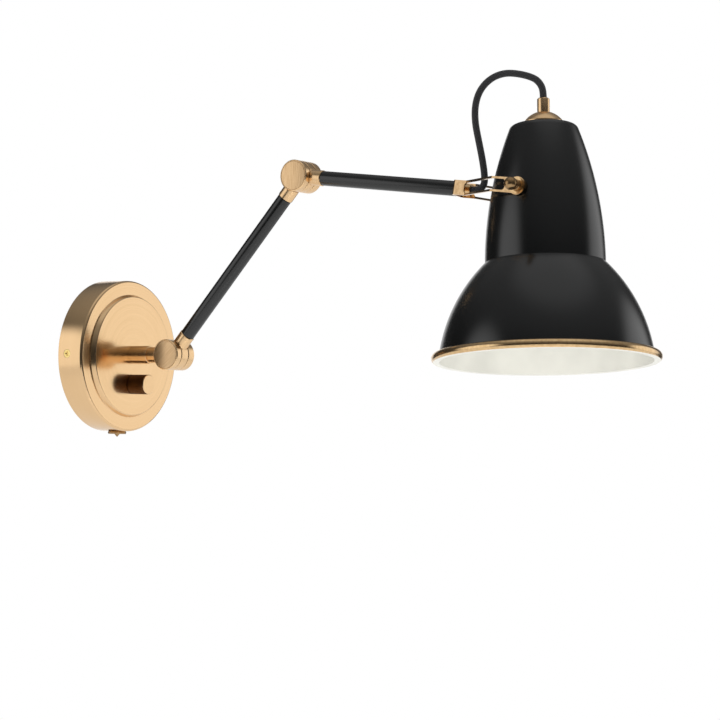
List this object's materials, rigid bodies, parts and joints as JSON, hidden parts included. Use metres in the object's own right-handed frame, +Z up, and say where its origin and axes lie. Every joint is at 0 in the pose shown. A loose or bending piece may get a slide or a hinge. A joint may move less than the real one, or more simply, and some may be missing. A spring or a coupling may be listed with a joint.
{
  "type": "folding wall lamp",
  "caption": "Wall lamp on a folding arm: round plate with a dimmer knob, tubes with drum knuckles, and a bell shade that tilts in a slotted fork and is fed by a looped cord.",
  "frame": {"origin": "middle of the round plate's back, in the wall plane", "axes": "+Y into the wall, +X to the right of someone who faces the wall, +Z up; the lamp reaches out along -Y"},
  "size_m": [0.1621, 0.4853, 0.2714],
  "materials": {
    "brushed_brass": "satin, turned and brushed",
    "polished_brass": "polished",
    "dark_brass": "aged, polished",
    "black_paint": "satin",
    "shade_paint": "satin black outside, cream white inside",
    "black_braid": "braided",
    "zinc_steel": "zinc plated",
    "white_plastic": "moulded",
    "black_plastic": "moulded"
  },
  "bodies": {
    "wall_side": {"mounting_bracket": "zinc_steel", "backplate_cover": "brushed_brass", "rim_screws": "polished_brass", "rim_cap_nut": "polished_brass", "rim_lock_nut": "zinc_steel", "earth_screw": "polished_brass", "terminal_block": "white_plastic", "dimmer_body": "black_plastic", "dimmer_nut": "zinc_steel", "post": "brushed_brass", "post_lock_nut": "zinc_steel", "wall_clevis": "brushed_brass", "wall_pivot_bolt": "zinc_steel", "wall_pivot_nut": "zinc_steel", "wall_friction_washers": "black_plastic", "wall_knuckle_caps": "brushed_brass"},
    "dimmer_knob": {"dimmer_knob": "brushed_brass", "dimmer_spindle": "zinc_steel"},
    "lower_arm": {"lower_arm_tongue": "brushed_brass", "lower_arm_tube": "black_paint", "elbow_clevis": "brushed_brass", "elbow_pivot_bolt": "zinc_steel", "elbow_pivot_nut": "zinc_steel", "elbow_friction_washers": "black_plastic", "elbow_knuckle_caps": "brushed_brass"},
    "upper_arm": {"upper_arm_tongue": "brushed_brass", "upper_arm_tube": "black_paint", "tube_end_plug": "polished_brass"},
    "fork": {"fork_bracket": "polished_brass", "fork_stud": "polished_brass", "stud_retainer": "zinc_steel", "cord": "black_braid"},
    "shade": {"shade_shell": "shade_paint", "rim_ring": "polished_brass", "top_cap": "brushed_brass", "cord_grip": "brushed_brass", "grip_screw": "zinc_steel", "holder_nipple": "zinc_steel", "nipple_nut": "zinc_steel", "lampholder_cap": "black_plastic", "lampholder_body": "black_plastic", "thread_sleeve": "polished_brass", "centre_contact": "polished_brass", "side_bushes": "polished_brass", "side_washers": "polished_brass"},
    "near_thumb_screw": {"near_thumb_screw": "dark_brass"},
    "far_thumb_screw": {"far_thumb_screw": "dark_brass"}
  },
  "joints": [
    {"name": "wall_pivot", "type": "hinge", "parent": "wall_side", "child": "lower_arm", "pos_m": [0, -0.0667, 0.001], "axis": [-1, 0, 0], "range_deg": [-94, 41]},
    {"name": "elbow_pivot", "type": "hinge", "parent": "lower_arm", "child": "upper_arm", "pos_m": [0, -0.18516, 0.13679], "axis": [1, 0, 0], "range_deg": [-115, 62]},
    {"name": "fork_turn", "type": "hinge", "parent": "upper_arm", "child": "fork", "pos_m": [0, -0.3234, 0.12226], "axis": [0, -0.9945, -0.1045], "range_deg": [-90, 90]},
    {"name": "shade_tilt", "type": "hinge", "parent": "fork", "child": "shade", "pos_m": [0, -0.3957, 0.11466], "axis": [-0.9971, -0.0079, 0.0753], "range_deg": [-30, 45], "deforming": ["cord"]},
    {"name": "knob_turn", "type": "hinge", "parent": "wall_side", "child": "dimmer_knob", "pos_m": [0, -0.035, -0.0225], "axis": [0, 1, 0], "range_deg": [0, 270]},
    {"name": "near_screw_turn", "type": "hinge", "parent": "shade", "child": "near_thumb_screw", "pos_m": [-0.04487, -0.39605, 0.11805], "axis": [0.9971, 0.0079, -0.0753], "range_deg": [0, 360]},
    {"name": "far_screw_turn", "type": "hinge", "parent": "shade", "child": "far_thumb_screw", "pos_m": [0.04487, -0.39534, 0.11128], "axis": [-0.9971, -0.0079, 0.0753], "range_deg": [0, 360]}
  ]
}
